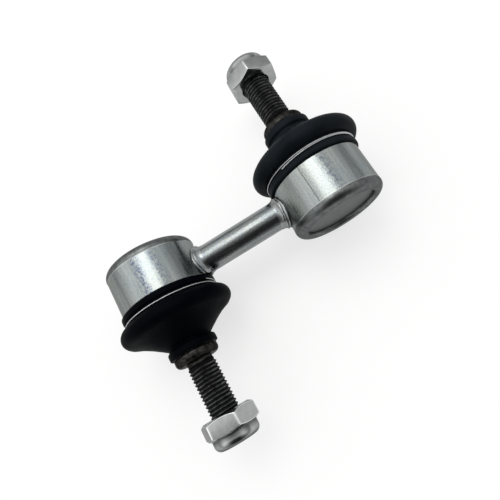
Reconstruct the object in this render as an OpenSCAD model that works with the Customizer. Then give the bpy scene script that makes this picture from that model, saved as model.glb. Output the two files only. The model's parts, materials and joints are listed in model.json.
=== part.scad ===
// Stabilizer link: a short welded rod with a ball joint at each end.
// The rod lies along X. The upper stud points to +Y and the lower stud to -Y.
// Joint profiles are drawn as radius and height: the height runs from the ball
// centre along the stud, so the rim of the housing is at a negative height.

/* [Rod] */
// Distance between the two ball centres
centre_distance = 65; // [60:1:120]
// Diameter of the rod
rod_d = 10; // [8:0.5:11]
// How far the weld flash stands out from the rod
weld_flare = 1.2; // [0.8:0.1:2]
// Length of the weld flash along the rod
weld_length = 3; // [2.6:0.1:4.5]

/* [Ball joint] */
// Diameter of the ball
ball_d = 16; // [15:0.25:17]
// Diameter of the stud's neck next to the ball
neck_d = 9; // [8:0.25:10]
// Greatest tilt of the stud, in degrees
swing = 20; // [12:1:24]
// Wall of the ball seat round the ball's equator
seat_wall = 3.55; // [2.8:0.05:3.9]
// Thickness of the ball seat under the ball
seat_floor = 0.8; // [0.6:0.1:1.6]

/* [Housing] */
// Outer diameter of the housing
housing_d = 32.4; // [31.6:0.2:38]
// Radius of the rolled rim
rim_round = 2.7; // [2.2:0.1:3]
// Diameter of the opening inside the rolled rim
rim_opening_d = 24.6; // [23:0.2:25.4]
// How deep the end cap lies inside the rim
cap_recess = 1.6; // [1.4:0.1:2.2]
// Thickness of the end cap
cap_t = 1.2; // [1:0.1:2]
// Height of the housing's shoulder above the rod
shoulder_gap = 0.3; // [0.2:0.1:2]

/* [Dust boot] */
// How far the boot's foot stands out over the housing
foot_overhang = 0.9; // [0.5:0.1:1.4]
// Height of the boot's foot below the clip
foot_h = 2.2; // [2:0.1:4]
// Diameter of the clip's wire
wire_d = 0.6; // [0.5:0.05:0.8]
// Diameter of the boot over its bulge
bulge_d = 40; // [38.6:0.2:44]
// Radius of the bulge's rounding
bulge_round = 3; // [2.6:0.1:3.6]
// Diameter of the boot's cone where it leaves the bulge
cone_d = 31.6; // [29:0.2:33]
// Height of the cone from the top of the bulge to the neck
cone_h = 6.3; // [5:0.1:10]
// Diameter of the boot's neck under its lip
boot_neck_d = 15.2; // [14.8:0.1:17]
// Diameter of the lip at the boot's small end
lip_d = 17.2; // [16.6:0.2:20]
// Height of the lip
lip_h = 3.2; // [2.8:0.1:5]
// Wall of the boot round the bulge
boot_wall = 1.6; // [1.2:0.1:1.9]

/* [Stud] */
// Distance from the ball centre to the nut
nut_reach = 46.75; // [42:0.25:60]
// Diameter of the threaded shank
thread_d = 10; // [8:0.5:11]
// Diameter of the seat that the boot's ring turns on
boot_seat_d = 11.2; // [10.6:0.1:11.6]
// Diameter of the stud's collar
collar_d = 15.4; // [14:0.2:18]
// Height of the stud's collar
collar_h = 3.1; // [2.6:0.1:4]

/* [Nut] */
// Width of the nut across its flats
nut_af = 17; // [16:0.25:19]
// Height of the nut's hexagon
hex_h = 5.9; // [5:0.1:8]
// Height of the nut's round collar above the hexagon
nut_collar_h = 3.8; // [3.2:0.1:5]
// Wall of the nut's collar round the nylon ring
nut_wall = 1.2; // [1.1:0.1:1.5]
// Turn of the upper nut about its stud, in degrees
upper_nut_turn = 27; // [0:0.5:60]
// Turn of the lower nut about its stud, in degrees
lower_nut_turn = 59.5; // [0:0.5:60]

/* [Hidden] */
$fn = 96;

// Clearances between pieces that move on each other
ball_gap = 0.05;
seat_gap = 0.05;
ring_gap = 0.15;
thread_gap = 0.05;
collar_gap = 0.2;
stop_gap = 0.4;
// How far a cutting shape runs past the face it cuts
over = 0.5;

half = centre_distance / 2;
rod_r = rod_d / 2;

// Weld flash: a hollow flare, then two beads of upset metal, the second on the housing
flash_r = rod_r + weld_flare;
flash_edge = 0.15;
flare_round = 2.2;
flash_bead = 0.42;
flash_beads = [0.95, 0.05];
flash_sink = 2.5;
flash_room = 0.6;

// Ball and seat
ball_r = ball_d / 2;
neck_r = neck_d / 2;
cavity_r = ball_r + ball_gap;
seat_r = cavity_r + seat_wall;
mouth_margin = 1;
mouth_angle = asin(neck_r / ball_r) + swing + mouth_margin;
seat_top = cavity_r * cos(mouth_angle);
seat_bottom = -ball_r - seat_floor + seat_gap;

// Housing, from the rim up
housing_r = housing_d / 2;
cap_top = -ball_r - seat_floor;
cap_bottom = cap_top - cap_t;
rim_s = cap_bottom - cap_recess;
rim_open_r = rim_opening_d / 2;
// The rolled rim stands a little proud, so a crease shows where it starts
rim_proud = 0.1;
rim_roll = [housing_r + rim_proud - rim_round, rim_s + rim_round];
rim_lip_round = 1.3;
rim_hold = 1.1;
cap_r = rim_open_r + rim_hold;
bore_r = seat_r + seat_gap;
bore_top = seat_top + seat_gap;
shoulder_s = rod_r + shoulder_gap;
shoulder_edge = 0.4;
shoulder_w = 3.2;
spigot_r = housing_r - shoulder_w;
bead_w = 0.8;
bead_r = spigot_r + bead_w;
bead_h = 1.2;

// Boot, from the foot up
foot_r = housing_r + foot_overhang;
foot_edge = 0.6;
foot_top = shoulder_s + foot_h;
groove_depth = 0.55;
groove_r = foot_r - groove_depth;
wire_r = wire_d / 2;
wire_press = 0.05;
wire_pitch = wire_d - wire_press;
clip_h = wire_d + wire_pitch;
groove_top = foot_top + clip_h;
spigot_over = 0.35;
spigot_top = groove_top + spigot_over;
bulge_rise = 0.7;
bulge = [bulge_d / 2 - bulge_round, groove_top + bulge_rise + bulge_round];
bulge_top = bulge[1] + bulge_round;
cone_foot = [cone_d / 2, bulge_top];
cone_neck = [boot_neck_d / 2, bulge_top + cone_h];
crease_round = 2.5;
lip_r = lip_d / 2;
lip_edge_round = 0.45;
lip_rise = 0.2;
lip_s = cone_neck[1] + lip_rise;
boot_end = lip_s + lip_h;

// Ring in the boot's small end
ring_r = boot_seat_d / 2 + ring_gap;
ring_wall = 0.85;
ring_outer_r = ring_r + ring_wall;
ring_drop = 0.7;
ring_bottom = cone_neck[1] - ring_drop;
flange_w = 0.9;
flange_r = ring_outer_r + flange_w;
flange_h = 0.8;

// Stud, from the neck up
boot_seat_r = boot_seat_d / 2;
boot_seat_h = 5;
taper_h = 4;
boot_seat_s = boot_end - boot_seat_h;
neck_top = boot_seat_s - taper_h;
collar_r = collar_d / 2;
collar_foot_round = 0.6;
collar_round = 1.6;
collar_s = boot_end + collar_gap;
grip_s = collar_s + collar_h;
thread_r = thread_d / 2;
lead_in_step = 0.2;
lead_in_r = thread_r - lead_in_step;
lead_in_gap = 0.3;
grip_end = nut_reach - lead_in_gap;
nut_h = hex_h + nut_collar_h;
stud_inset = 1.6;
stud_end = nut_reach + nut_h - stud_inset;
point_h = 1;

// Nut
corner_r = nut_af / 2 / cos(30);
face_share = 0.94;
face_r = nut_af / 2 * face_share;
chamfer_slope = tan(30);
chamfer_h = (corner_r - face_r) * chamfer_slope;
nut_collar_step = 0.65;
nut_collar_r = nut_af / 2 - nut_collar_step;
nut_collar_round = 2.2;
nut_bore_r = thread_r + thread_gap;
nut_countersink = 0.5;
insert_r = nut_collar_r - nut_wall;
insert_floor = 0.5;
insert_s = hex_h + insert_floor;
roll_t = 0.5;
insert_top = nut_h - roll_t;
roll_w = 0.35;
roll_r = insert_r - roll_w;

// Unit vector from a to b
function toward(a, b) = (b - a) / norm(b - a);

// Radius that the tilted neck sweeps at a height above the ball centre
function mouth_r(s) = s * tan(swing) + neck_r / cos(swing) + stop_gap;

// Puts a joint, drawn along +Z from its ball centre, on the upper (1) or lower (-1) end
module at_end(side) {
    rotate([0, 0, side > 0 ? 0 : 180])
        translate([half, 0, 0])
            rotate([-90, 0, 0])
                children();
}

// What is cut off a convex corner to leave an arc; dir points out of the material
module corner_cut(at, r, dir) {
    translate(at)
        difference() {
            translate([dir[0] > 0 ? -r : -over, dir[1] > 0 ? -r : -over])
                square(r + over);
            translate([-dir[0] * r, -dir[1] * r])
                circle(r);
        }
}

// A rectangle between two radii and two heights
module band(r0, r1, s0, s1) {
    translate([r0, s0])
        square([r1 - r0, s1 - s0]);
}

// The outside of a housing, as a cutter for what is welded to it
module housing_cutter(side) {
    at_end(side)
        translate([0, 0, rim_s - over])
            cylinder(r = housing_r, h = shoulder_s - rim_s + 2 * over);
}

module rod() {
    color([0.68, 0.70, 0.69])
        difference() {
            rotate([0, 90, 0])
                cylinder(r = rod_r, h = centre_distance, center = true);
            housing_cutter(1);
            housing_cutter(-1);
        }
}

// Flash thrown up round the rod where it is welded to the housing
module weld_flash(side) {
    wall = half - housing_r;
    color([0.62, 0.64, 0.63])
        difference() {
            rotate([0, side > 0 ? 90 : -90, 0])
                rotate_extrude() {
                    difference() {
                        band(rod_r, flash_r - flash_bead, wall - weld_length, wall + flash_sink);
                        translate([rod_r + flash_edge + flare_round, wall - weld_length])
                            circle(flare_round);
                    }
                    for (back = flash_beads)
                        translate([flash_r - flash_bead, wall - back])
                            circle(flash_bead);
                }
            housing_cutter(side);
            at_end(side)
                translate([0, 0, shoulder_s])
                    cylinder(r = foot_r + flash_room, h = foot_h);
        }
}

module housing() {
    color([0.70, 0.72, 0.71])
        rotate_extrude()
            difference() {
                union() {
                    band(0, housing_r, rim_roll[1], shoulder_s);
                    band(0, rim_roll[0], rim_s, rim_roll[1]);
                    translate(rim_roll)
                        circle(rim_round);
                    band(0, spigot_r, shoulder_s, spigot_top);
                    band(0, bead_r, spigot_top - bead_h, spigot_top);
                }
                corner_cut([housing_r, shoulder_s], shoulder_edge, [1, 1]);
                band(0, rim_open_r, rim_s - over, cap_bottom + over);
                corner_cut([rim_open_r, rim_s], rim_lip_round, [-1, -1]);
                band(0, cap_r, cap_bottom, cap_top);
                band(0, bore_r, cap_top - over, bore_top);
                polygon([
                    [0, bore_top - over],
                    [mouth_r(bore_top - over), bore_top - over],
                    [mouth_r(spigot_top + over), spigot_top + over],
                    [0, spigot_top + over]
                ]);
            }
}

module end_cap() {
    color([0.45, 0.47, 0.48])
        translate([0, 0, cap_bottom])
            cylinder(r = cap_r, h = cap_t);
}

module ball_seat() {
    color([0.90, 0.89, 0.84])
        rotate_extrude()
            difference() {
                band(0, seat_r, seat_bottom, seat_top);
                circle(cavity_r);
            }
}

// Outline of the boot without its hollow: foot, clip groove, bulge, cone and lip
module boot_outline() {
    along = toward(cone_foot, cone_neck);
    out = [along[1], -along[0]];
    // the arc that fills the crease between the bulge and the cone
    rise = (cone_foot - bulge) * out + crease_round;
    reach = bulge_round + crease_round;
    crease = bulge + rise * out + sqrt(reach * reach - rise * rise) * along;

    difference() {
        band(0, foot_r, shoulder_s, foot_top);
        corner_cut([foot_r, shoulder_s], foot_edge, [1, -1]);
        corner_cut([foot_r, foot_top], foot_edge, [1, 1]);
    }
    band(0, groove_r, foot_top - foot_edge, groove_top);
    polygon([
        [0, groove_top - over],
        [groove_r, groove_top - over],
        [groove_r, groove_top],
        bulge,
        [0, bulge[1]]
    ]);
    translate(bulge)
        circle(bulge_round);
    polygon([[0, bulge[1] - over], bulge, cone_foot, cone_neck, [0, cone_neck[1]]]);
    difference() {
        polygon([bulge, crease, crease - crease_round * out, cone_foot - over * out]);
        translate(crease)
            circle(crease_round);
    }
    difference() {
        union() {
            band(0, lip_r, lip_s, boot_end);
            polygon([[0, cone_neck[1] - over], cone_neck, [lip_r, lip_s], [0, lip_s]]);
        }
        corner_cut([lip_r, boot_end], lip_edge_round, [1, 1]);
    }
}

// Hollow of the boot, with the seats of the housing's spigot and of the ring
module boot_hollow() {
    along = toward(cone_foot, cone_neck);
    out = [along[1], -along[0]];
    inner_round = bulge_round - boot_wall;
    shoulder = bulge + ((cone_foot - bulge) * out - boot_wall) * out;
    band(0, spigot_r, shoulder_s - over, spigot_top);
    band(0, bead_r, spigot_top - bead_h, spigot_top);
    translate(bulge)
        circle(inner_round);
    polygon([
        [0, spigot_top],
        [bead_r, spigot_top],
        [bulge[0], bulge[1] - inner_round],
        bulge,
        shoulder,
        [ring_outer_r, ring_bottom],
        [0, ring_bottom]
    ]);
    band(0, ring_outer_r, ring_bottom, boot_end + over);
    band(0, flange_r, boot_end - flange_h, boot_end + over);
}

module dust_boot() {
    color([0.05, 0.05, 0.06])
        rotate_extrude()
            difference() {
                boot_outline();
                boot_hollow();
            }
}

// Two turns of wire that press the boot's foot onto the housing
module boot_clip() {
    color([0.75, 0.76, 0.77])
        rotate_extrude()
            for (turn = [0, 1])
                translate([groove_r + wire_r, foot_top + wire_r + turn * wire_pitch])
                    circle(wire_r);
}

module boot_ring() {
    color([0.35, 0.35, 0.36])
        rotate_extrude() {
            band(ring_r, ring_outer_r, ring_bottom, boot_end);
            band(ring_r, flange_r, boot_end - flange_h, boot_end);
        }
}

module ball_stud() {
    color([0.13, 0.13, 0.13])
        rotate_extrude() {
            intersection() {
                circle(ball_r);
                band(0, ball_r + over, -ball_r, ball_r);
            }
            band(0, neck_r, 0, neck_top);
            polygon([
                [0, neck_top],
                [neck_r, neck_top],
                [boot_seat_r, boot_seat_s],
                [boot_seat_r, collar_s],
                [0, collar_s]
            ]);
            difference() {
                band(0, collar_r, collar_s, grip_s);
                corner_cut([collar_r, collar_s], collar_foot_round, [1, -1]);
                corner_cut([collar_r, grip_s], collar_round, [1, 1]);
            }
            band(0, thread_r, grip_s, grip_end);
            band(0, lead_in_r, grip_end, stud_end - point_h);
            polygon([
                [0, stud_end - point_h],
                [lead_in_r, stud_end - point_h],
                [lead_in_r - point_h, stud_end],
                [0, stud_end]
            ]);
        }
}

// Hexagon with chamfered corners, and a round collar rolled over the nylon ring
module nut(turn) {
    color([0.70, 0.72, 0.72])
        translate([0, 0, nut_reach])
            difference() {
                union() {
                    intersection() {
                        rotate([0, 0, turn])
                            cylinder(r = corner_r, h = hex_h, $fn = 6);
                        rotate_extrude()
                            polygon([
                                [0, 0],
                                [face_r, 0],
                                [corner_r + over, chamfer_h + over * chamfer_slope],
                                [corner_r + over, hex_h - chamfer_h - over * chamfer_slope],
                                [face_r, hex_h],
                                [0, hex_h]
                            ]);
                    }
                    rotate_extrude()
                        difference() {
                            band(0, nut_collar_r, hex_h - over, nut_h);
                            corner_cut([nut_collar_r, nut_h], nut_collar_round, [1, 1]);
                        }
                }
                translate([0, 0, -over])
                    cylinder(r = nut_bore_r, h = nut_h + 2 * over);
                rotate_extrude() {
                    polygon([
                        [0, -over],
                        [nut_bore_r + nut_countersink + over, -over],
                        [nut_bore_r, nut_countersink],
                        [0, nut_countersink]
                    ]);
                    band(0, insert_r, insert_s, insert_top);
                    band(0, roll_r, insert_top - over, nut_h + over);
                }
            }
}

module nut_insert() {
    color([0.06, 0.06, 0.12])
        translate([0, 0, nut_reach])
            rotate_extrude()
                band(nut_bore_r, insert_r, insert_s, insert_top);
}

module upper_weld_flash() { weld_flash(1); }
module lower_weld_flash() { weld_flash(-1); }
module upper_housing() { at_end(1) housing(); }
module lower_housing() { at_end(-1) housing(); }
module upper_end_cap() { at_end(1) end_cap(); }
module lower_end_cap() { at_end(-1) end_cap(); }
module upper_ball_seat() { at_end(1) ball_seat(); }
module lower_ball_seat() { at_end(-1) ball_seat(); }
module upper_dust_boot() { at_end(1) dust_boot(); }
module lower_dust_boot() { at_end(-1) dust_boot(); }
module upper_boot_clip() { at_end(1) boot_clip(); }
module lower_boot_clip() { at_end(-1) boot_clip(); }
module upper_boot_ring() { at_end(1) boot_ring(); }
module lower_boot_ring() { at_end(-1) boot_ring(); }
module upper_ball_stud() { at_end(1) ball_stud(); }
module lower_ball_stud() { at_end(-1) ball_stud(); }
module upper_nut() { at_end(1) nut(upper_nut_turn); }
module lower_nut() { at_end(-1) nut(lower_nut_turn); }
module upper_nut_insert() { at_end(1) nut_insert(); }
module lower_nut_insert() { at_end(-1) nut_insert(); }

rod();
upper_weld_flash();
lower_weld_flash();
upper_housing();
lower_housing();
upper_end_cap();
lower_end_cap();
upper_ball_seat();
lower_ball_seat();
upper_dust_boot();
lower_dust_boot();
upper_boot_clip();
lower_boot_clip();
upper_boot_ring();
lower_boot_ring();
upper_ball_stud();
lower_ball_stud();
upper_nut();
lower_nut();
upper_nut_insert();
lower_nut_insert();
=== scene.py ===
import json
import math

import bmesh
import bpy
from mathutils import Euler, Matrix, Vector, noise


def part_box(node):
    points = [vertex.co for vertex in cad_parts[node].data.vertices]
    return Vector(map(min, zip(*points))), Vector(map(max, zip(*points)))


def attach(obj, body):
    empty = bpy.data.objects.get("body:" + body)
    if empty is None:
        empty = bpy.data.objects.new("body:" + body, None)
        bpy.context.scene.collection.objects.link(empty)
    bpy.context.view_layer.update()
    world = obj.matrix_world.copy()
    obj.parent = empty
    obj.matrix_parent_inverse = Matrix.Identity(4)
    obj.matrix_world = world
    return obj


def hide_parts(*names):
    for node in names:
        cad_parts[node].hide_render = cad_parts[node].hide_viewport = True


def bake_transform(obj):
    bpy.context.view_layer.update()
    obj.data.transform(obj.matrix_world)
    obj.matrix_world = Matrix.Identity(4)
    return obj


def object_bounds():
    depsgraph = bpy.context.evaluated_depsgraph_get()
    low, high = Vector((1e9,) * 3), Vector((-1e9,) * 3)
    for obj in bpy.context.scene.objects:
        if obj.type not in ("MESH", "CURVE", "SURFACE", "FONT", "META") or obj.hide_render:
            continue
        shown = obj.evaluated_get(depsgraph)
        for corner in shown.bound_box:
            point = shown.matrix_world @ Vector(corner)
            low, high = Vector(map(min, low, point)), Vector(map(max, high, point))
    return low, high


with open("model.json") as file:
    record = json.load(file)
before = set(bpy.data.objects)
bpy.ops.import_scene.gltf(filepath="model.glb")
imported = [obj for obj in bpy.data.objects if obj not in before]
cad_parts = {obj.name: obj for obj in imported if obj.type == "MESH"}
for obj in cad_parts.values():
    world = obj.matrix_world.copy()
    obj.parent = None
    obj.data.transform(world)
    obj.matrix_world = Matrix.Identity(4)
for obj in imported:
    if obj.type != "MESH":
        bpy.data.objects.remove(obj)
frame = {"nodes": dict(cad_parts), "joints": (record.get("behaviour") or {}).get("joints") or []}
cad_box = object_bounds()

scene = bpy.context.scene

# Sizes are in millimetres, as in the part's source, and become metres in place()
MM = 0.001
# The two ends, and which way along Y the stud of each one points
ENDS = (("upper", 1), ("lower", -1))
# Half the distance between the ball centres, and the radius of a housing's wall
HALF = next(joint["pos_m"][0] for joint in frame["joints"] if joint["name"] == "upper_tilt") / MM
HOUSING_R = 16.2


def heights(node):
    """Lowest and highest place of one of the upper end's CAD nodes along its stud."""
    low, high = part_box(node)
    return low.y / MM, high.y / MM


# Points and meshes


def place(side, x, y, s):
    """A point of an end in the frame, with x outward and s along the stud from the ball centre."""
    return Vector((side * (x + HALF) * MM, side * s * MM, -y * MM))


def about_stud(side, r, angle, s):
    """A point at a radius, an angle and a height about the stud of an end."""
    return place(side, r * math.cos(angle), r * math.sin(angle), s)


def polar_places(piece, side):
    """Radius, height and angle of each vertex of a piece about the stud of its end."""
    made = []
    for v in piece.data.vertices:
        x, s, y = side * v.co.x / MM - HALF, side * v.co.y / MM, -v.co.z / MM
        made.append((math.hypot(x, y), s, math.atan2(y, x)))
    return made


def turn_points(count):
    """Angles of one turn in equal steps."""
    return [2 * math.pi * i / count for i in range(count)]


def arc(centre, radius, start, end, count):
    """Points of an arc in a profile, with angles in degrees from the radius axis."""
    turn = [math.radians(start + (end - start) * i / count) for i in range(count + 1)]
    return [(centre[0] + radius * math.cos(a), centre[1] + radius * math.sin(a)) for a in turn]


ROUND_STEPS = 4
# The most of an edge that one rounded corner may take up
CORNER_SHARE = 0.48


def rounded(points, radii):
    """A closed profile with each corner that has a radius rounded off."""
    made = []
    for i, radius in enumerate(radii):
        at = Vector(points[i])
        if radius == 0:
            made.append(tuple(at))
            continue
        back = Vector(points[i - 1]) - at
        ahead = Vector(points[(i + 1) % len(points)]) - at
        half = back.angle(ahead) / 2
        reach = min(radius / math.tan(half), CORNER_SHARE * back.length, CORNER_SHARE * ahead.length)
        a, b = at + back.normalized() * reach, at + ahead.normalized() * reach
        for k in range(ROUND_STEPS + 1):
            t = k / ROUND_STEPS
            made.append(tuple((1 - t) ** 2 * a + 2 * t * (1 - t) * at + t * t * b))
    return made


def smooth_line(points, count):
    """A Catmull-Rom line through profile points, with count steps to a span."""
    made = []
    for i in range(len(points) - 1):
        p0 = Vector(points[max(i - 1, 0)])
        p1 = Vector(points[i])
        p2 = Vector(points[i + 1])
        p3 = Vector(points[min(i + 2, len(points) - 1)])
        square = 2 * p0 - 5 * p1 + 4 * p2 - p3
        cube = 3 * p1 - p0 - 3 * p2 + p3
        for k in range(count):
            t = k / count
            made.append(tuple(0.5 * (2 * p1 + (p2 - p0) * t + square * t * t + cube * t ** 3)))
    made.append(tuple(points[-1]))
    return made


# Points of a mesh that lie closer than this, in metres, become one
WELD, HELIX_WELD = 2e-7, 1e-6


def grid_mesh(name, rows, angle, wrap_rows=False, helix=False):
    """A piece from rows of points, smooth up to an angle in degrees; a row of one point is a pole.

    The rows of a helix have a last point over their first one, and the others close on themselves.
    """
    bm = bmesh.new()
    made = [[bm.verts.new(p) for p in row] for row in rows]
    pairs = list(zip(made, made[1:]))
    if wrap_rows:
        pairs.append((made[-1], made[0]))
    for low, high in pairs:
        count = max(len(low), len(high))
        for i in range(count - 1 if helix else count):
            j = (i + 1) % count
            ring = [low[i % len(low)], low[j % len(low)], high[j % len(high)], high[i % len(high)]]
            corners = list(dict.fromkeys(ring))
            if len(corners) > 2:
                bm.faces.new(corners)
    weld = HELIX_WELD if helix else WELD
    bmesh.ops.remove_doubles(bm, verts=bm.verts, dist=weld)
    bmesh.ops.dissolve_degenerate(bm, edges=bm.edges, dist=weld / 2)
    bmesh.ops.recalc_face_normals(bm, faces=bm.faces)
    mesh = bpy.data.meshes.new(name)
    bm.to_mesh(mesh)
    bm.free()
    mesh.shade_smooth()
    mesh.set_sharp_from_angle(angle=math.radians(angle))
    piece = bpy.data.objects.new(name, mesh)
    scene.collection.objects.link(piece)
    return piece


def set_points(piece, name, values):
    """Keeps a value at each vertex, for a finish to read."""
    made = piece.data.attributes.new(name, "FLOAT", "POINT")
    made.data.foreach_set("value", values)


# Shader nodes that the finishes and the sky share


def add_ramp(tree, factor, stops):
    """A ramp over a factor; a stop is a place and a grey or an RGB colour."""
    made = tree.nodes.new("ShaderNodeValToRGB")
    bar = made.color_ramp.elements
    while len(bar) < len(stops):
        bar.new(0.5)
    for element, (at, colour) in zip(bar, stops):
        element.position = at
        element.color = (*colour, 1) if isinstance(colour, tuple) else (colour, colour, colour, 1)
    tree.links.new(factor, made.inputs["Fac"])
    return made.outputs["Color"]


def add_mix(tree, factor, a, b, blend):
    """A mix of two colours; each value is a node's output or a constant."""
    made = tree.nodes.new("ShaderNodeMix")
    made.data_type = "RGBA"
    made.blend_type = blend
    for socket, value in zip((made.inputs[0], made.inputs[6], made.inputs[7]), (factor, a, b)):
        if isinstance(value, bpy.types.NodeSocket):
            tree.links.new(value, socket)
        else:
            socket.default_value = (*value, 1) if isinstance(value, tuple) else value
    return made.outputs[2]


class Finish:
    """A material with a Principled shader, and short calls for the nodes in front of it."""

    def __init__(self, name, metallic, roughness, **sockets):
        self.material = bpy.data.materials.new(name)
        self.material.use_nodes = True
        self.tree = self.material.node_tree
        self.shader = self.tree.nodes["Principled BSDF"]
        self.shader.inputs["Metallic"].default_value = metallic
        self.shader.inputs["Roughness"].default_value = roughness
        for socket, value in sockets.items():
            self.shader.inputs[socket.replace("_", " ")].default_value = value
        self.coords = self.tree.nodes.new("ShaderNodeTexCoord").outputs["Object"]

    def link(self, output, socket):
        self.tree.links.new(output, socket)

    def noise(self, scale, detail=3.0, rough=0.5, distortion=0.0):
        """Noise with scale features to a metre, the same or its own along x, y and z."""
        stretch = self.tree.nodes.new("ShaderNodeMapping")
        stretch.inputs["Scale"].default_value = scale if isinstance(scale, tuple) else (scale,) * 3
        self.link(self.coords, stretch.inputs["Vector"])
        made = self.tree.nodes.new("ShaderNodeTexNoise")
        made.inputs["Scale"].default_value = 1.0
        made.inputs["Detail"].default_value = detail
        made.inputs["Roughness"].default_value = rough
        made.inputs["Distortion"].default_value = distortion
        self.link(stretch.outputs["Vector"], made.inputs["Vector"])
        return made.outputs["Fac"]

    def attribute(self, name):
        """A value that the piece keeps at its vertices."""
        made = self.tree.nodes.new("ShaderNodeAttribute")
        made.attribute_name = name
        return made.outputs["Fac"]

    def along(self, axis, start, end, clamp=True):
        """A value that runs from 0 to 1 between two places along an axis, in metres."""
        split = self.tree.nodes.new("ShaderNodeSeparateXYZ")
        self.link(self.coords, split.inputs["Vector"])
        made = self.tree.nodes.new("ShaderNodeMapRange")
        made.clamp = clamp
        made.inputs["From Min"].default_value = start
        made.inputs["From Max"].default_value = end
        self.link(split.outputs[axis], made.inputs["Value"])
        return made.outputs["Result"]

    def band(self, axis, low, high, wobble=0.0):
        """A mask that is 1 midway between two places along an axis and 0 past them; wobble wavers it."""
        across = self.along(axis, low, high, clamp=False)
        if wobble:
            waver = self.tree.nodes.new("ShaderNodeMath")
            waver.operation = "MULTIPLY_ADD"
            waver.inputs[1].default_value = wobble
            self.link(self.noise(260.0, 2.0), waver.inputs[0])
            self.link(across, waver.inputs[2])
            across = waver.outputs[0]
        return self.ramp(across, (0.0, 0.0), (0.4, 1.0), (0.6, 1.0), (1.0, 0.0))

    def ramp(self, factor, *stops):
        return add_ramp(self.tree, factor, stops)

    def mix(self, factor, a, b, blend="MIX"):
        return add_mix(self.tree, factor, a, b, blend)

    def times(self, colour, tint):
        return self.mix(1.0, colour, tint, "MULTIPLY")

    def bump(self, height, strength, distance, below=None):
        """A normal from a height, over the normal below it if there is one."""
        made = self.tree.nodes.new("ShaderNodeBump")
        made.inputs["Strength"].default_value = strength
        made.inputs["Distance"].default_value = distance
        self.link(height, made.inputs["Height"])
        if below is not None:
            self.link(below, made.inputs["Normal"])
        return made.outputs["Normal"]

    def done(self, colour, roughness, normal):
        self.link(colour, self.shader.inputs["Base Color"])
        self.link(roughness, self.shader.inputs["Roughness"])
        self.link(normal, self.shader.inputs["Normal"])
        return self.material


# Zinc plating


def zinc(name, streak, tint, speckle, low, high, gloss, glance=0.5):
    """Bright zinc with drawn streaks, a cloudy tint and a crystalline grain.

    Gives the finish, its colour, roughness and normal, so that a piece can add its own marks.
    """
    f = Finish(name, 1.0, gloss, Specular_Tint=(glance, glance, glance, 1.0))
    drawn = f.noise(streak, 4.0, 0.6)
    clouds = f.noise(tint, 2.0, 0.5, 0.6)
    grain = f.noise(speckle, 3.0, 0.65)
    base = f.ramp(drawn, (0.3, low), (0.7, high))
    hue = f.ramp(clouds, (0.32, (0.92, 0.97, 1.0)), (0.5, (1.0, 1.0, 0.98)), (0.68, (1.0, 0.98, 0.90)))
    flecks = f.ramp(grain, (0.38, (0.72, 0.76, 0.90)), (0.56, (1.0, 1.0, 1.0)))
    colour = f.mix(0.8, f.mix(0.75, base, hue, "MULTIPLY"), flecks, "MULTIPLY")
    rough = f.ramp(drawn, (0.3, gloss - 0.06), (0.7, gloss + 0.07))
    return f, colour, rough, f.bump(grain, 0.35, 0.00008)


# Where the rolled rim starts, how far the housing's colour fades into the rim's painted dark reflection, and
# the painted highlight on the edge about that place
RIM_START, RIM_FADE, RIM_EDGE = -8.2, 0.15, (0.12, -0.28)
# The rolled rim's colours are a painted dark reflection, and the edge colour is a painted highlight
RIM_SHADE_LOW, RIM_SHADE_HIGH, RIM_ROUGH = (0.10, 0.108, 0.107), (0.165, 0.175, 0.173), (0.34, 0.34, 0.34)
RIM_HIGHLIGHT_COLOUR = (0.40, 0.42, 0.41)
# Tinted bands along each housing's wall: from and to across the stud's axis, how far they waver, whether
# they are speckled, and their tint; the narrow one is a scratch
WALL_TINTS = {
    "upper": (
        (0.2, 4.6, 0.3, True, (0.50, 0.55, 0.66)),
        (-5.7, -5.2, 1.0, False, (0.42, 0.44, 0.43))),
    "lower": (
        (-1.4, 3.2, 0.25, True, (0.27, 0.33, 0.58)),
        (4.9, 8.8, 0.25, True, (0.48, 0.54, 0.68)))}


def housing_zinc(end, side):
    """The housing's plating: speckled bluish bands and a scratch along the wall, a painted dark reflection
    on the rolled rim, and a painted highlight on the rim's edge.
    """
    f, colour, rough, normal = zinc(
        end + "_housing_zinc", streak=(900.0, 70.0, 900.0), tint=(60.0, 40.0, 60.0), speckle=2300.0,
        low=(0.245, 0.265, 0.255), high=(0.345, 0.365, 0.348), gloss=0.24)
    dots = f.ramp(f.noise((1400.0, 950.0, 1400.0), 5.0, 0.8), (0.48, 0.0), (0.56, 1.0))
    for low, high, wobble, speckled, tint in WALL_TINTS[end]:
        line = f.band("X", (side * HALF + low) * MM, (side * HALF + high) * MM, wobble)
        where = f.times(line, dots) if speckled else line
        colour = f.mix(where, colour, f.times(colour, tint))
    past = f.along("Y", side * RIM_START * MM, side * (RIM_START - RIM_FADE) * MM)
    # Painted dark reflection on the rolled rim
    rim_shade = f.ramp(f.noise(600.0, 4.0, 0.65), (0.35, RIM_SHADE_LOW), (0.65, RIM_SHADE_HIGH))
    colour = f.mix(past, colour, rim_shade)
    rough = f.mix(past, rough, RIM_ROUGH)
    # Painted highlight on the rim's edge
    edge_highlight = f.band("Y", side * (RIM_START + RIM_EDGE[0]) * MM, side * (RIM_START + RIM_EDGE[1]) * MM)
    colour = f.mix(edge_highlight, colour, RIM_HIGHLIGHT_COLOUR)
    return f.done(colour, rough, normal)


def rod_zinc():
    """The rod's plating, over drawn metal with a broken, pitted shine."""
    f, colour, rough, normal = zinc(
        "rod_zinc", streak=(60.0, 900.0, 900.0), tint=(50.0, 80.0, 80.0), speckle=1500.0,
        low=(0.17, 0.182, 0.176), high=(0.31, 0.325, 0.313), gloss=0.23, glance=1.0)
    pits = f.noise((420.0, 700.0, 700.0), 4.0, 0.7, 0.8)
    return f.done(colour, rough, f.bump(pits, 0.5, 0.0001, normal))


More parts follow.
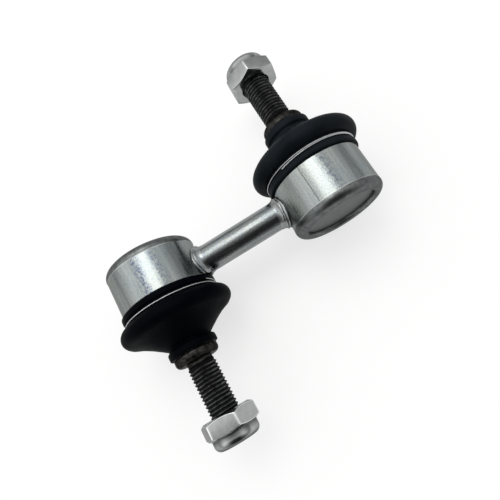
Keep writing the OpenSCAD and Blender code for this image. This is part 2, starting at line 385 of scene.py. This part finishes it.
def weld_zinc():
    """The weld flash's plating, with a coarser grain."""
    f, colour, rough, normal = zinc(
        "weld_zinc", streak=500.0, tint=200.0, speckle=1400.0,
        low=(0.24, 0.255, 0.25), high=(0.38, 0.39, 0.38), gloss=0.24)
    return f.done(colour, rough, normal)


def nut_zinc():
    """Bright zinc on a forged nut, with a painted highlight on its edges and corners and painted shade in
    the crease under the hexagon and on the rolled end.
    """
    f = Finish("nut_zinc", 1.0, 0.3, Specular_Tint=(0.5, 0.5, 0.5, 1.0))
    mottle = f.noise(420.0, 4.0, 0.6)
    base = f.ramp(mottle, (0.3, (0.31, 0.324, 0.316)), (0.7, (0.385, 0.4, 0.39)))
    # Painted highlight on the nut's edges and corners
    colour = f.mix(f.attribute("wear_and_highlight"), base, (0.85, 0.86, 0.85))
    # Painted shade in the crease under the hexagon and on the rolled end
    colour = f.mix(f.attribute("painted_shade"), colour, f.times(colour, (0.25, 0.26, 0.26)))
    rough = f.ramp(mottle, (0.3, 0.10), (0.7, 0.2))
    normal = f.bump(f.noise(1500.0, 3.0, 0.6), 0.22, 0.00008)
    return f.done(colour, rough, normal)


# Other finishes


def dull_steel(name, low, high, grain):
    """Bare or dull plated steel with a soft mottled grey."""
    f = Finish(name, 0.9, 0.45)
    mottle = f.noise(grain, 3.0, 0.55)
    colour = f.ramp(mottle, (0.3, low), (0.7, high))
    rough = f.ramp(mottle, (0.3, 0.42), (0.7, 0.55))
    normal = f.bump(f.noise(2600.0, 2.0), 0.25, 0.00005)
    return f.done(colour, rough, normal)


def rubber(name, low, high, shine):
    """Matte black rubber with a fine moulded grain and a little bloom."""
    f = Finish(name, 0.0, 0.5, Specular_IOR_Level=shine)
    bloom = f.noise(160.0, 3.0, 0.6)
    colour = f.ramp(bloom, (0.35, low), (0.75, high))
    rough = f.ramp(bloom, (0.3, 0.46), (0.7, 0.62))
    waves = f.bump(f.noise(500.0, 3.0), 0.12, 0.0002)
    normal = f.bump(f.noise(3200.0, 2.0), 0.2, 0.00004, waves)
    return f.done(colour, rough, normal)


RUBBED_STEEL, RUBBED_ROUGH = (0.30, 0.305, 0.31), (0.2, 0.2, 0.2)


def phosphate(name, low, high, roughness):
    """Black phosphated steel; the wear_and_highlight attribute, which on the studs holds the wear of the
    crests, rubs it bright.
    """
    f = Finish(name, 0.85, 0.45, Specular_Tint=(0.25, 0.25, 0.25, 1.0))
    mottle = f.noise(700.0, 4.0, 0.6)
    coat = f.ramp(mottle, (0.3, low), (0.7, high))
    rubbed = f.times(f.ramp(mottle, (0.35, 0.25), (0.65, 1.0)), f.attribute("wear_and_highlight"))
    colour = f.mix(rubbed, coat, RUBBED_STEEL)
    rough = f.ramp(mottle, (0.3, roughness - 0.08), (0.7, roughness + 0.08))
    rough = f.mix(rubbed, rough, RUBBED_ROUGH)
    normal = f.bump(f.noise(4200.0, 2.0), 0.3, 0.00004)
    return f.done(colour, rough, normal)


def plastic(name, low, high, cloud, roughness):
    """Moulded plastic with a faint cloud in its colour."""
    f = Finish(name, 0.0, roughness, Specular_IOR_Level=0.5)
    clouds = f.noise(cloud, 3.0, 0.5)
    colour = f.ramp(clouds, (0.3, low), (0.7, high))
    rough = f.ramp(clouds, (0.3, roughness - 0.05), (0.7, roughness + 0.06))
    return f.done(colour, rough, f.bump(f.noise(2400.0, 2.0), 0.15, 0.00004))


HOUSING_ZINC = {end: housing_zinc(end, side) for end, side in ENDS}
ROD_ZINC = rod_zinc()
WELD_ZINC = weld_zinc()
NUT_ZINC = nut_zinc()
CAP_STEEL = dull_steel("cap_steel", (0.088, 0.098, 0.096), (0.12, 0.131, 0.128), grain=300.0)
RING_STEEL = dull_steel("ring_steel", (0.30, 0.30, 0.31), (0.42, 0.42, 0.43), grain=500.0)
WIRE_STEEL = dull_steel("wire_steel", (0.55, 0.56, 0.57), (0.68, 0.69, 0.70), grain=900.0)
# One rubber for both boots, painted lighter on the upper boot and darker on the lower one as painted light
# and shade
BOOT_RUBBER_LIT_AND_SHADED = {
    "upper": rubber("upper_boot_rubber_painted_lighter", (0.0056, 0.0080, 0.0104), (0.0118, 0.0154, 0.0188), shine=0.04),
    "lower": rubber("lower_boot_rubber_painted_darker", (0.0003, 0.0007, 0.0018), (0.0010, 0.0018, 0.0034), shine=0.02)}
BLACK_STEEL = phosphate("black_steel", (0.004, 0.004, 0.005), (0.012, 0.012, 0.013), roughness=0.4)
COLLAR_STEEL = phosphate("collar_steel", (0.0038, 0.0037, 0.0036), (0.046, 0.0445, 0.0415), roughness=0.3)
NYLON = plastic("nut_nylon", (0.010, 0.011, 0.022), (0.018, 0.020, 0.040), cloud=500.0, roughness=0.35)
SEAT_PLASTIC = plastic("seat_plastic", (0.72, 0.70, 0.63), (0.80, 0.785, 0.72), cloud=300.0, roughness=0.4)


def finish_node(name, material):
    """Gives a CAD node its finish."""
    data = frame["nodes"][name].data
    data.materials.clear()
    data.materials.append(material)


# Dust boots: foot, wire groove, bulge, cone and lip, and the hollow inside them

BOOT_STEPS = 144
FOOT_LOW, LIP_END = heights("upper_dust_boot")
SPIGOT_R, BEAD_R, BEAD_LOW, BEAD_HIGH = 13.0, 13.8, 7.8, 9.0
FOOT_R, FOOT_EDGE, FOOT_HIGH = 17.1, 0.6, 7.5
GROOVE_R, GROOVE_LOW, GROOVE_TOP = 16.55, 7.53, 8.65
BULGE, BULGE_R, BULGE_ARC = (17.0, 12.35), 3.0, (-97, 48)
HOLLOW_R, HOLLOW_ARC, HOLLOW_FOOT = 1.4, (62, -92), (14.6, 10.0)
CONE_LINE = [
    (18.3, 15.15), (16.6, 15.9), (14.9, 16.75), (12.6, 18.15), (10.6, 19.55), (8.8, 20.85), (7.75, 21.75),
    (7.85, 22.2), (8.45, 22.65), (8.6, 23.3)]
LIP_R, LIP_EDGE, LIP_WALL = 8.6, 0.45, 0.9
RING_R, RING_FLANGE, RING_FLANGE_H, RING_LOW = 6.6, 7.5, 0.8, heights("upper_boot_ring")[0]
HOLLOW_LINE = [(RING_R, RING_LOW), (9.6, 18.4), (13.0, 16.05), (16.0, 14.2)]
BOOT_OUTER = (
    [(SPIGOT_R, FOOT_LOW)]
    + arc((FOOT_R - FOOT_EDGE, FOOT_LOW + FOOT_EDGE), FOOT_EDGE, -90, 0, 6)
    + arc((FOOT_R - FOOT_EDGE, FOOT_HIGH - FOOT_EDGE), FOOT_EDGE, 0, 90, 6)
    + [(GROOVE_R, GROOVE_LOW), (GROOVE_R, GROOVE_TOP)]
    + arc(BULGE, BULGE_R, *BULGE_ARC, 28)
    + smooth_line(CONE_LINE, 4)
    + [(LIP_R, LIP_END - LIP_WALL)]
    + arc((LIP_R - LIP_EDGE, LIP_END - LIP_EDGE), LIP_EDGE, 0, 90, 6)
)
BOOT_INNER = (
    [(RING_FLANGE, LIP_END), (RING_FLANGE, LIP_END - RING_FLANGE_H), (RING_R, LIP_END - RING_FLANGE_H)]
    + smooth_line(HOLLOW_LINE, 5)
    + arc(BULGE, HOLLOW_R, *HOLLOW_ARC, 12)
    + [HOLLOW_FOOT, (BEAD_R, BEAD_HIGH), (BEAD_R, BEAD_LOW), (SPIGOT_R, BEAD_LOW)]
)


def dust_boot(end, side):
    rows = [[about_stud(side, r, a, s) for a in turn_points(BOOT_STEPS)] for r, s in BOOT_OUTER + BOOT_INNER]
    piece = grid_mesh(end + "_boot", rows, angle=50, wrap_rows=True)
    piece.data.materials.append(BOOT_RUBBER_LIT_AND_SHADED[end])
    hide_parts(end + "_dust_boot")
    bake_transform(piece)


# Wire clips: a spring wire of a little over one turn, with one free end sprung off in front

CLIP_R, WIRE_R, WIRE_SIDES, CLIP_STEPS = 16.86, 0.18, 10, 220
CLIP_LOW, CLIP_HIGH = 8.02, 8.42
# Angles round the stud, in degrees: the free end, where the wire starts to step over and has done so,
# and the hidden end
CLIP_TURNS = {"upper": (-124, 30, 150, 380), "lower": (-160, -210, -330, -560)}
# The free end: degrees of wire that spring off, how far down and how far out
FREE_ARC, FREE_DROP, FREE_OUT = 60.0, 0.55, 0.45
# The round tips of the wire: how many steps each has, and the angle of a step in radians
TIP_STEPS, TIP_TURN = 3, 0.0065


def boot_clip(end, side):
    first, step, over, last = CLIP_TURNS[end]
    rows = []
    for i in range(-TIP_STEPS, CLIP_STEPS + TIP_STEPS + 1):
        past = max(-i, i - CLIP_STEPS, 0)
        size = WIRE_R * (1 - (past / TIP_STEPS) ** 2) ** 0.5
        angle = first + (last - first) * min(max(i / CLIP_STEPS, 0), 1)
        a = math.radians(angle) + math.copysign(past, i * (last - first)) * TIP_TURN
        up = min(max((angle - step) / (over - step), 0), 1)
        free = max(0, 1 - abs(angle - first) / FREE_ARC) ** 2
        s = CLIP_LOW + (CLIP_HIGH - CLIP_LOW) * up * up * (3 - 2 * up) - FREE_DROP * free
        middle = CLIP_R + FREE_OUT * free
        if past == TIP_STEPS:
            rows.append([about_stud(side, middle, a, s)])
            continue
        rows.append([
            about_stud(side, middle + size * math.cos(b), a, s + size * math.sin(b))
            for b in turn_points(WIRE_SIDES)])
    piece = grid_mesh(end + "_clip", rows, angle=60)
    piece.data.materials.append(WIRE_STEEL)
    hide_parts(end + "_boot_clip")
    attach(piece, "link")


# Weld flash: a flare and two uneven beads of upset metal that follow the housing's wall

FLASH_STEPS = 96
# Distance from the housing's wall, radius about the rod, and how uneven the point is
FLASH_PROFILE = [
    (3.0, 4.9, 0.0), (3.0, 5.04, 0.0), (2.5, 5.1, 0.3), (2.0, 5.22, 0.6), (1.6, 5.42, 0.8),
    (1.36, 5.7, 1.0), (1.2, 5.92, 1.0), (0.95, 6.02, 1.0), (0.7, 5.92, 1.0), (0.54, 5.74, 0.7),
    (0.38, 5.84, 0.8), (0.2, 5.98, 0.8), (0.0, 6.02, 0.6), (-0.3, 5.9, 0.0), (-0.3, 4.9, 0.0)]
# Unevenness: how far it lifts and shifts a point, and where in the noise the shift is read
FLASH_LIFT, FLASH_SHIFT, SHIFT_NOISE = 0.22, 0.16, Vector((9, 4, 2))
# Steps in the noise: round the rod, from row to row and from end to end
FLASH_WAVES, FLASH_ROW, FLASH_END = 1.7, 0.35, 7
# How high the flash may rise under the boot's foot, and how far from the wall the foot reaches
FOOT_ROOM, FOOT_REACH = FOOT_LOW - 0.1, 1.5


def weld_flash(end, side):
    rows = []
    for k, (back, r, uneven) in enumerate(FLASH_PROFILE):
        row = []
        for a in turn_points(FLASH_STEPS):
            across, up = FLASH_WAVES * math.cos(a), FLASH_WAVES * math.sin(a)
            at = Vector((across, up, FLASH_ROW * k + FLASH_END * side))
            lift = FLASH_LIFT * uneven * noise.noise(at)
            shift = FLASH_SHIFT * uneven * noise.noise(at + SHIFT_NOISE)
            s, z = (r + lift) * math.cos(a), (r + lift) * math.sin(a)
            if back + shift < FOOT_REACH:
                s = min(s, FOOT_ROOM)
            x = -math.sqrt(HOUSING_R ** 2 - z * z) - back - shift
            row.append(place(side, x, -z, s))
        rows.append(row)
    piece = grid_mesh(end + "_flash", rows, angle=45, wrap_rows=True)
    piece.data.materials.append(WELD_ZINC)
    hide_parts(end + "_weld_flash")
    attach(piece, "link")


# Ball studs with a rolled thread

STUD_STEPS = 72
STUD_TURN = turn_points(STUD_STEPS) + [2 * math.pi]
STUD_LOW, STUD_END = heights("upper_ball_stud")
BALL_R, BALL_OPEN = -STUD_LOW, 56
NECK_R, NECK_LOW, NECK_HIGH = 4.5, 7.0, 16.05
TAPER_R, TAPER_END = 5.6, 20.05
COLLAR_R, COLLAR_LOW, COLLAR_TOP = 7.7, 25.25, 28.35
COLLAR_EDGE, COLLAR_ROUND, SHANK_FILLET = 0.6, 1.6, 0.5
PITCH, THREAD_START = 1.25, 29.1
SHANK_R, CREST_R, ROOT_R = 4.42, 5.0, 4.45
POINT_R, POINT_H = 3.8, 1.0
# Turns over which the thread runs out into the relief by the collar
RUN_OUT = 1.2
# One pitch of the thread: share of the pitch, and height from root to crest
THREAD_FORM = ((0.0, 1.0), (0.09, 0.9), (0.40, 0.05), (0.5, 0.0), (0.60, 0.05), (0.91, 0.9))
# How deep the crests are worn, and where the wear starts past the start of the thread
CREST_WORN, WORN_START = 0.07, 1.0
# The heights between which the collar's finish lies
COLLAR_FINISH = (21.0, THREAD_START + 0.4)
STUD_PROFILE = (
    arc((0, 0), BALL_R, -90, BALL_OPEN, 28)[1:]
    + [(NECK_R, NECK_LOW), (NECK_R, NECK_HIGH), (TAPER_R, TAPER_END), (TAPER_R, COLLAR_LOW)]
    + arc((COLLAR_R - COLLAR_EDGE, COLLAR_LOW + COLLAR_EDGE), COLLAR_EDGE, -90, 0, 6)
    + arc((COLLAR_R - COLLAR_ROUND, COLLAR_TOP - COLLAR_ROUND), COLLAR_ROUND, 0, 90, 12)
    + arc((SHANK_R + SHANK_FILLET, COLLAR_TOP + SHANK_FILLET), SHANK_FILLET, 270, 180, 5)
)


def thread_radius(s, form):
    """Radius of the stud's thread: it runs out into a relief and is cut by the point."""
    fade = min(1, (s - THREAD_START) / (RUN_OUT * PITCH))
    r = ROOT_R + (CREST_R - ROOT_R) * form
    r = SHANK_R + (r - SHANK_R) * fade
    return min(r, POINT_R + (STUD_END - s) * (CREST_R - POINT_R) / POINT_H)


def thread_rows(side):
    """Rows that follow the thread's helix up the stud; they close up at both ends."""
    rows = []
    for turn in range(-1, int((STUD_END - THREAD_START) / PITCH) + 2):
        for share, form in THREAD_FORM:
            row = []
            for i, a in enumerate(STUD_TURN):
                s = THREAD_START + (turn + share + i / STUD_STEPS) * PITCH
                s = min(max(s, THREAD_START), STUD_END)
                row.append(about_stud(side, thread_radius(s, form), a, s))
            rows.append(row)
    return rows


def ball_stud(end, side):
    rows = [[place(side, 0, 0, STUD_LOW)]]
    rows += [[about_stud(side, r, a, s) for a in STUD_TURN] for r, s in STUD_PROFILE]
    rows += thread_rows(side)
    rows.append([place(side, 0, 0, STUD_END)])
    piece = grid_mesh(end + "_stud", rows, angle=50, helix=True)
    piece.data.materials.append(BLACK_STEEL)
    piece.data.materials.append(COLLAR_STEEL)
    places = polar_places(piece, side)
    wear_and_highlight = []
    for r, s, a in places:
        rubbed = 1 - (CREST_R - r) / CREST_WORN if s > THREAD_START + WORN_START else 0
        wear_and_highlight.append(min(max(rubbed, 0), 1))
    set_points(piece, "wear_and_highlight", wear_and_highlight)
    for face in piece.data.polygons:
        middle = sum(places[v][1] for v in face.vertices) / len(face.vertices)
        if COLLAR_FINISH[0] < middle < COLLAR_FINISH[1]:
            face.material_index = 1
    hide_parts(end + "_ball_stud")
    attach(piece, end + "_stud")


# Lock nuts; the heights of a nut start at its lower face

NUT_S = heights("upper_nut")[0]
HEX_H, NUT_H = 5.9, 9.7
NUT_FLAT, FACE_R, EDGE_R, CHAMFER = 8.5, 7.99, 0.4, math.radians(30)
NUT_COLLAR_R, NUT_DOME, DOME_END = 7.85, 2.2, 72.8
# Angles from corner to corner of the hexagon and from a corner to the middle of a flat
SIXTH, TWELFTH = math.radians(60), math.radians(30)
# Rounding of the end face's edge, of the chamfers' edges and of the crease by the collar
FACE_ROUND, CHAMFER_ROUND, CREASE_ROUND = 0.25, 0.35, 0.5
# The mouth of the bore, its thread, and the pocket that holds the nylon ring under the rolled edge
MOUTH_R, MOUTH_H = 5.6, 0.5
BORE_R, MINOR_R, THREAD_LEAD = 5.08, 4.5, 0.5
ROLL_R, INSERT_R = 6.3, 6.65
POCKET, POCKET_TOP = [s - NUT_S for s in heights("upper_nut_insert")]
NUT_TURNS = {"upper": 27.0, "lower": 59.5}
# Angles from a corner, in degrees, closer together near it
CORNER_STEPS = [-30, -26, -21, -16, -11, -7, -4.5, -3, -2, -1, 0, 1, 2, 3, 4.5, 7, 11, 16, 21, 26]
NUT_ANGLES = [math.radians(60 * k + d) for k in range(6) for d in CORNER_STEPS]
# Painted highlight on each nut's edges: how bright it is, and the degrees of a corner and width of an edge
# it covers
NUT_HIGHLIGHT, HIGHLIGHT_CORNER, HIGHLIGHT_EDGE = {"upper": 0.3, "lower": 1.0}, 3.5, 0.2
# Painted shade: how dark it is on each nut, and how far it reaches up the collar from the crease under the
# hexagon
NUT_SHADE, SHADE_REACH = {"upper": 0.5, "lower": 1.0}, 1.7
# Painted shade on the rolled end: where it starts and is full above the hexagon, and its share
ROLL_SHADE_START, ROLL_SHADE_END, ROLL_SHADE = 2.4, 3.3, 0.8


def from_corner(angle):
    """How far an angle round the nut is from the nearest corner of its hexagon."""
    return abs((angle + TWELFTH) % SIXTH - TWELFTH)


def hex_radius(angle):
    """Radius of a hexagon with rounded corners."""
    core = NUT_FLAT - EDGE_R
    corner = core / math.cos(TWELFTH)
    off = from_corner(angle)
    from_flat = TWELFTH - off
    if math.tan(from_flat) * NUT_FLAT <= core * math.tan(TWELFTH):
        return NUT_FLAT / math.cos(from_flat)
    return corner * math.cos(off) + math.sqrt(EDGE_R ** 2 - (corner * math.sin(off)) ** 2)


def chamfer(r):
    """How far the chamfer has come down the hexagon at a radius."""
    return (r - FACE_R) * math.tan(CHAMFER)


def nut_profile(r):
    """Outline of the nut where its hexagon has radius r: chamfers, domed collar and pocket."""
    hexagon = [
        (BORE_R, MOUTH_H), (MOUTH_R, 0.0), (FACE_R, 0.0),
        (r, chamfer(r)), (r, HEX_H - chamfer(r)), (NUT_COLLAR_R, HEX_H)]
    radii = [0, 0, FACE_ROUND, CHAMFER_ROUND, CHAMFER_ROUND, CREASE_ROUND]
    dome = arc((NUT_COLLAR_R - NUT_DOME, NUT_H - NUT_DOME), NUT_DOME, 0, DOME_END, 10)
    pocket = [(ROLL_R, POCKET_TOP), (INSERT_R, POCKET_TOP), (INSERT_R, POCKET), (BORE_R, POCKET)]
    return rounded(hexagon + dome + pocket, radii + [0] * len(dome + pocket))


def bore_rows(side, turn):
    """Rows of the bore's thread from the pocket down, in step with the stud's."""
    low, high = NUT_S + MOUTH_H, NUT_S + POCKET
    first = math.floor((low - THREAD_START) / PITCH) - 2
    last = math.ceil((high - THREAD_START) / PITCH) + 1
    rows = []
    for whole in range(last, first - 1, -1):
        for share, form in reversed(THREAD_FORM):
            row = []
            for a in NUT_ANGLES:
                s = THREAD_START + (whole + share + (a + turn) / (2 * math.pi)) * PITCH
                s = min(max(s, low), high)
                depth = max(min(1, (high - s) / THREAD_LEAD, (s - low) / THREAD_LEAD), 0)
                r = BORE_R - (BORE_R - MINOR_R) * (1 - form) * depth
                row.append(about_stud(side, r, a + turn, s))
            rows.append(row)
    return rows


def paint_nut_light_and_shade(piece, end, side, turn):
    """Marks where a highlight is painted on the nut's edges and corners, and where shade is painted in the
    crease and on the rolled end.
    """
    wear_and_highlight, painted_shade = [], []
    for r, s, a in polar_places(piece, side):
        hexagon = hex_radius(a - turn)
        past_hexagon = s - NUT_S - HEX_H
        # Painted highlight on the corners and along the edges of the hexagon
        corner = 1 - math.degrees(from_corner(a - turn)) / HIGHLIGHT_CORNER if r > NUT_FLAT else 0
        edges = (NUT_S + chamfer(hexagon), NUT_S + HEX_H - chamfer(hexagon))
        edge_highlight = 1 - min(math.hypot(r - hexagon, s - e) for e in edges) / HIGHLIGHT_EDGE
        wear_and_highlight.append(NUT_HIGHLIGHT[end] * min(max(corner, edge_highlight, 0), 1) if past_hexagon < 0 else 0)
        # Painted shade in the crease under the hexagon and on the rolled end
        on_collar = r > (INSERT_R + NUT_COLLAR_R) / 2 and past_hexagon > 0
        crease = 1 - past_hexagon / SHADE_REACH if on_collar else 0
        along_end = (past_hexagon - ROLL_SHADE_START) / (ROLL_SHADE_END - ROLL_SHADE_START)
        painted_shade.append(NUT_SHADE[end] * max(crease, ROLL_SHADE * min(along_end, 1), 0))
    set_points(piece, "wear_and_highlight", wear_and_highlight)
    set_points(piece, "painted_shade", painted_shade)


def nut(end, side):
    turn = math.radians(NUT_TURNS[end])
    columns = [nut_profile(hex_radius(a)) for a in NUT_ANGLES]
    rows = [
        [about_stud(side, r, a + turn, NUT_S + s) for a, (r, s) in zip(NUT_ANGLES, points)]
        for points in zip(*columns)]
    piece = grid_mesh(end + "_lock_nut", rows + bore_rows(side, turn), angle=40, wrap_rows=True)
    piece.data.materials.append(NUT_ZINC)
    paint_nut_light_and_shade(piece, end, side, turn)
    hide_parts(end + "_nut")
    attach(piece, end + "_nut")


for end, side in ENDS:
    dust_boot(end, side)
    boot_clip(end, side)
    weld_flash(end, side)
    ball_stud(end, side)
    nut(end, side)
    finish_node(end + "_housing", HOUSING_ZINC[end])
    finish_node(end + "_end_cap", CAP_STEEL)
    finish_node(end + "_ball_seat", SEAT_PLASTIC)
    finish_node(end + "_boot_ring", RING_STEEL)
    finish_node(end + "_nut_insert", NYLON)
finish_node("rod", ROD_ZINC)


# Floor: pale paper that stays white round the object and keeps its shadow; lengths in metres

FLOOR_REACH, FLOOR_GAP = 4.0, 0.0002
PAPER_GLOW, PAPER_GREY = 0.66, 0.36


def floor_paper():
    """Matte paper with a glow that only camera, mirror and glass rays see."""
    paper = bpy.data.materials.new("floor_paper")
    paper.use_nodes = True
    tree = paper.node_tree
    tree.nodes.clear()
    rays = tree.nodes.new("ShaderNodeLightPath").outputs
    seen = rays["Is Camera Ray"]
    for ray in ("Is Glossy Ray", "Is Transmission Ray"):
        either = tree.nodes.new("ShaderNodeMath")
        either.operation = "MAXIMUM"
        tree.links.new(seen, either.inputs[0])
        tree.links.new(rays[ray], either.inputs[1])
        seen = either.outputs[0]
    level = tree.nodes.new("ShaderNodeMath")
    level.operation = "MULTIPLY"
    level.inputs[1].default_value = PAPER_GLOW
    tree.links.new(seen, level.inputs[0])
    glow = tree.nodes.new("ShaderNodeEmission")
    tree.links.new(level.outputs[0], glow.inputs["Strength"])
    matte = tree.nodes.new("ShaderNodeBsdfDiffuse")
    matte.inputs["Color"].default_value = (PAPER_GREY, PAPER_GREY, PAPER_GREY, 1)
    both = tree.nodes.new("ShaderNodeAddShader")
    tree.links.new(glow.outputs[0], both.inputs[0])
    tree.links.new(matte.outputs[0], both.inputs[1])
    out = tree.nodes.new("ShaderNodeOutputMaterial")
    tree.links.new(both.outputs[0], out.inputs["Surface"])
    return paper


def lay_floor():
    level = cad_box[0].z - FLOOR_GAP
    corners = [(x * FLOOR_REACH, y * FLOOR_REACH, level) for x, y in ((-1, -1), (1, -1), (1, 1), (-1, 1))]
    mesh = bpy.data.meshes.new("floor")
    mesh.from_pydata(corners, [], [(0, 1, 2, 3)])
    mesh.materials.append(floor_paper())
    floor = bpy.data.objects.new("floor", mesh)
    scene.collection.objects.link(floor)


# Light: a soft sky and one soft box; lengths in metres

SKY_STRENGTH = 1.05
# For each direction, the sky's brightness over how far a ray leans toward it; the three are multiplied
SKY = (
    # brighter from above than at the horizon
    ((0, 0, 1), ((0.0, 0.55), (0.2, 0.5), (0.38, 0.7), (0.5, 1.05), (0.65, 1.25))),
    # a dark side behind the camera
    ((0, -0.707, 0.707), ((0.60, 1.0), (0.78, 0.5), (0.87, 0.19), (0.95, 0.03))),
    # brighter on the left
    ((-1, 0, 0), ((0.0, 0.88), (0.6, 1.2), (0.85, 1.3))),
)
KEY_AT, KEY_SIZE = (0.012, 0.20, 0.45), (0.26, 0.25)
KEY_POWER, KEY_COLOUR = 0.58, (1.0, 0.99, 0.965)


def light_sky():
    world = bpy.data.worlds.new("studio")
    scene.world = world
    world.use_nodes = True
    tree = world.node_tree
    direction = tree.nodes.new("ShaderNodeTexCoord").outputs["Generated"]
    colour = None
    for toward, stops in SKY:
        lean = tree.nodes.new("ShaderNodeVectorMath")
        lean.operation = "DOT_PRODUCT"
        lean.inputs[1].default_value = toward
        tree.links.new(direction, lean.inputs[0])
        ramp = add_ramp(tree, lean.outputs["Value"], stops)
        colour = ramp if colour is None else add_mix(tree, 1.0, colour, ramp, "MULTIPLY")
    backdrop = tree.nodes["Background"]
    tree.links.new(colour, backdrop.inputs["Color"])
    backdrop.inputs["Strength"].default_value = SKY_STRENGTH


def hang_key():
    """A soft box over the far side of the object, aimed at its middle."""
    lamp = bpy.data.lights.new("key", "AREA")
    lamp.shape = "RECTANGLE"
    lamp.size, lamp.size_y = KEY_SIZE
    lamp.energy = KEY_POWER
    lamp.color = KEY_COLOUR
    key = bpy.data.objects.new("key", lamp)
    key.location = KEY_AT
    key.rotation_euler = (-Vector(KEY_AT)).to_track_quat("-Z", "Y").to_euler()
    scene.collection.objects.link(key)


# Camera at the photograph's viewing angle: place in millimetres, turn in degrees

CAMERA_AT, CAMERA_TURN = (11.028, -44.762, 137.418), (11.638, 11.873, -29.723)
CAMERA_LENS, CAMERA_SENSOR = 30.5, 36.0


def set_camera():
    data = bpy.data.cameras.new("camera")
    data.sensor_width = CAMERA_SENSOR
    data.lens = CAMERA_LENS
    data.clip_start, data.clip_end = 0.005, 20.0
    camera = bpy.data.objects.new("camera", data)
    camera.location = Vector(CAMERA_AT) * MM
    camera.rotation_euler = Euler([math.radians(a) for a in CAMERA_TURN], "XYZ")
    scene.collection.objects.link(camera)
    scene.camera = camera


lay_floor()
light_sky()
hang_key()
set_camera()
scene.view_settings.view_transform = "Standard"
